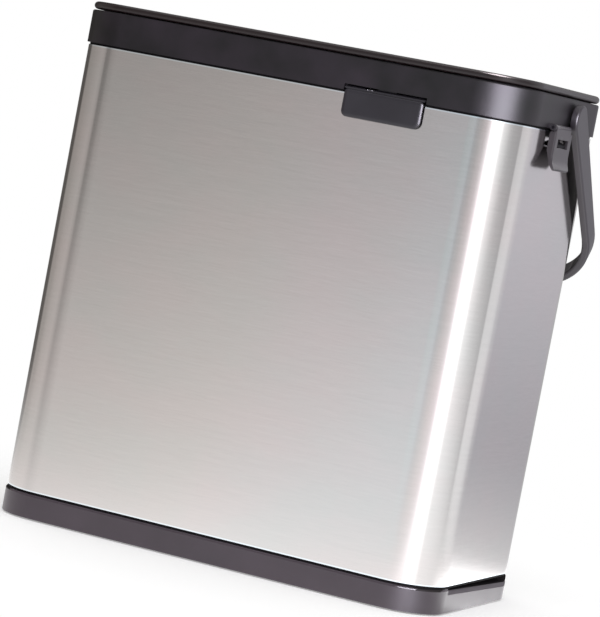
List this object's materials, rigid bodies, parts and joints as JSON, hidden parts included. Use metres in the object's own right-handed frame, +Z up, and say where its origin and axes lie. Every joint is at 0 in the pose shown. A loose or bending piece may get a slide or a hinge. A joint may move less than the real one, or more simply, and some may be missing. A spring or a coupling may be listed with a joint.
{
  "type": "trash compactor",
  "caption": "Slim steel waste bin with a hand press in its hinged lid, a swinging bail handle, end clips and a release paddle.",
  "frame": {"origin": "on the floor, at the middle of the shell: the middle of the centre foot's face", "axes": "+Z up, the front with the paddle faces -Y, +X to the right seen from the front"},
  "size_m": [0.4206, 0.2827, 0.438],
  "materials": {
    "steel": "horizontally brushed stainless steel with a fingerprint coating",
    "collar_plastic": "dark warm grey moulded plastic, satin",
    "base_plastic": "dark warm grey moulded plastic, satin",
    "lid_plastic": "dark brown-grey moulded plastic, satin",
    "handle_plastic": "dark grey moulded plastic, fine grain",
    "clip_plastic": "grey moulded plastic, satin",
    "black_plastic": "black moulded plastic",
    "bucket_plastic": "grey moulded plastic, smooth",
    "plate_plastic": "dark glass-filled plastic",
    "seal_rubber": "soft black rubber",
    "foot_rubber": "black rubber, matte",
    "filter_foam": "black carbon foam",
    "pin_steel": "bright drawn steel",
    "screw_steel": "zinc-plated steel",
    "spring_steel": "spring steel wire",
    "rod_steel": "polished steel",
    "tube_metal": "natural anodised tube",
    "lug_steel": "stainless steel sheet",
    "magnet_metal": "nickel-plated magnet"
  },
  "bodies": {
    "root": {"base_tray": "base_plastic", "rubber_feet": "foot_rubber", "floor_pan": "black_plastic", "base_screws": "screw_steel", "base_gasket": "seal_rubber", "steel_shell": "steel", "shell_rim": "black_plastic", "inner_bucket": "bucket_plastic", "bag_ring": "black_plastic", "catch_lugs": "lug_steel", "collar": "collar_plastic", "bail_pins": "pin_steel", "clip_pins": "pin_steel", "lid_hinge_pins": "pin_steel", "paddle_pin": "pin_steel", "paddle_spring": "spring_steel"},
    "lid": {"lid_panel": "lid_plastic", "inner_lid": "black_plastic", "lid_screws": "screw_steel", "lid_gasket": "seal_rubber", "lid_striker": "lug_steel", "guide_sleeves": "black_plastic", "filter_cassette": "black_plastic", "filter_pad": "filter_foam", "return_springs": "spring_steel"},
    "guide_mid": {"middle_tubes": "tube_metal"},
    "press": {"press_head": "lid_plastic", "press_column": "plate_plastic", "press_plate": "plate_plastic", "wiper_seal": "seal_rubber", "guide_rods": "rod_steel", "plate_screws": "screw_steel", "press_handle_pins": "pin_steel"},
    "press_handle": {"press_handle": "handle_plastic"},
    "bail": {"bail_arms": "handle_plastic", "bail_grip": "handle_plastic"},
    "clip_right": {"end_clip_right": "clip_plastic"},
    "clip_left": {"end_clip_left": "clip_plastic"},
    "paddle": {"release_paddle": "clip_plastic", "catch_magnet": "magnet_metal"}
  },
  "joints": [
    {"name": "lid_hinge", "type": "hinge", "parent": "root", "child": "lid", "pos_m": [0, 0.1155, 0.4348], "axis": [-1, 0, 0], "range_deg": [0, 105]},
    {"name": "press_slide", "type": "slide", "parent": "lid", "child": "press", "axis": [0, 0, 1], "range_m": [-0.075, 0], "stiffness_N_per_m": 150, "springref_m": 0.12, "deforming": ["return_springs"]},
    {"name": "guide_slide", "type": "slide", "parent": "lid", "child": "guide_mid", "axis": [0, 0, 1], "range_m": [-0.0375, 0]},
    {"name": "press_handle_fold", "type": "hinge", "parent": "press", "child": "press_handle", "pos_m": [0, 0, 0.4317], "axis": [0, -1, 0], "range_deg": [0, 90]},
    {"name": "bail_swing", "type": "hinge", "parent": "root", "child": "bail", "pos_m": [0, 0.015, 0.4145], "axis": [1, 0, 0], "range_deg": [0, 188]},
    {"name": "clip_right_hinge", "type": "hinge", "parent": "root", "child": "clip_right", "pos_m": [0.2048, -0.02, 0.4048], "axis": [0, -1, 0], "range_deg": [0, 95]},
    {"name": "clip_left_hinge", "type": "hinge", "parent": "root", "child": "clip_left", "pos_m": [-0.2048, -0.02, 0.4048], "axis": [0, 1, 0], "range_deg": [0, 95]},
    {"name": "paddle_hinge", "type": "hinge", "parent": "root", "child": "paddle", "pos_m": [0.084, -0.1135, 0.4057], "axis": [-1, 0, 0], "range_deg": [0, 12], "stiffness_Nm_per_rad": 0.5, "springref_deg": -8.59}
  ],
  "couplings": [
    {"joint": "guide_slide", "follows": "press_slide", "ratio": 0.5}
  ]
}
